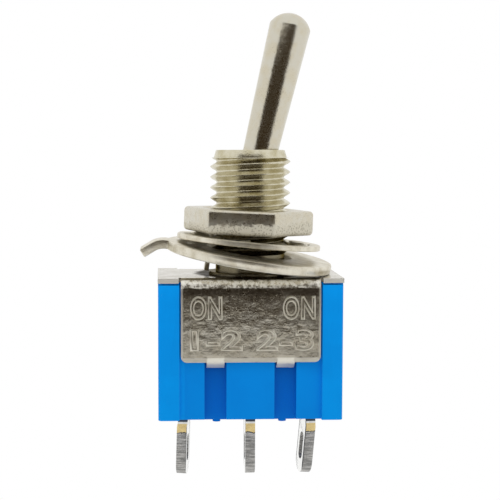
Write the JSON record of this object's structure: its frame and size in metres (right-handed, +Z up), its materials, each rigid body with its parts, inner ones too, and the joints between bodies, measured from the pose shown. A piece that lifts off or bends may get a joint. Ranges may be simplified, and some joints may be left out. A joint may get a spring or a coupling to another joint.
{
  "type": "miniature toggle switch",
  "caption": "Panel-mount bat-lever toggle switch with a threaded bushing, nut, washers, folded frame, moulded case and solder lugs.",
  "frame": {"origin": "the lever's pivot, on the axis of the bushing, inside its threaded barrel", "axes": "+Z up the bushing, out of the panel; +X the way the lever leans at rest; -Y the front, with the lettered flange"},
  "size_m": [0.0143, 0.0122, 0.0335],
  "materials": {
    "lever_nickel": "bright nickel over turned metal",
    "bushing_nickel": "bright nickel over turned metal",
    "nut_nickel": "bright nickel, faintly speckled",
    "washer_nickel": "bright nickel on stamped sheet",
    "frame_plating": "bright plating on folded sheet, mottled",
    "blue_moulding": "moulded thermoplastic, semi-gloss",
    "tinned_brass": "tinned below a bare brass band",
    "contact_silver": "silver",
    "white_nylon": "moulded nylon",
    "spring_steel": "drawn wire",
    "potting": "cast epoxy"
  },
  "bodies": {
    "housing": {"bushing": "bushing_nickel", "frame": "frame_plating", "case": "blue_moulding", "lock_washer": "washer_nickel", "locating_washer": "washer_nickel", "left_terminal": "tinned_brass", "common_terminal": "tinned_brass", "right_terminal": "tinned_brass", "left_fixed_contact": "contact_silver", "right_fixed_contact": "contact_silver", "terminal_seal": "potting"},
    "lever": {"toggle_lever": "lever_nickel", "plunger_spring": "spring_steel"},
    "plunger": {"contact_plunger": "white_nylon"},
    "rocker": {"rocker_contact": "contact_silver"},
    "nut": {"hex_nut": "nut_nickel"}
  },
  "joints": [
    {"name": "lever", "type": "hinge", "parent": "housing", "child": "lever", "pos_m": [0, 0, 0], "axis": [0, 1, 0], "range_deg": [-26.6, 0]},
    {"name": "rocker", "type": "hinge", "parent": "housing", "child": "rocker", "pos_m": [0, 0, -0.01205], "axis": [0, 1, 0], "range_deg": [0, 13]},
    {"name": "plunger", "type": "slide", "parent": "lever", "child": "plunger", "axis": [0.23, 0, 0.9732], "range_m": [0, 0.0006], "stiffness_N_per_m": 300, "springref_m": -0.004, "deforming": ["plunger_spring"]},
    {"name": "nut", "type": "hinge", "parent": "housing", "child": "nut", "pos_m": [-0.00015, 0, -0.00192], "axis": [0.0384, 0, 0.9993], "continuous": true}
  ],
  "couplings": [
    {"joint": "rocker", "follows": "lever", "ratio": -0.48872}
  ]
}
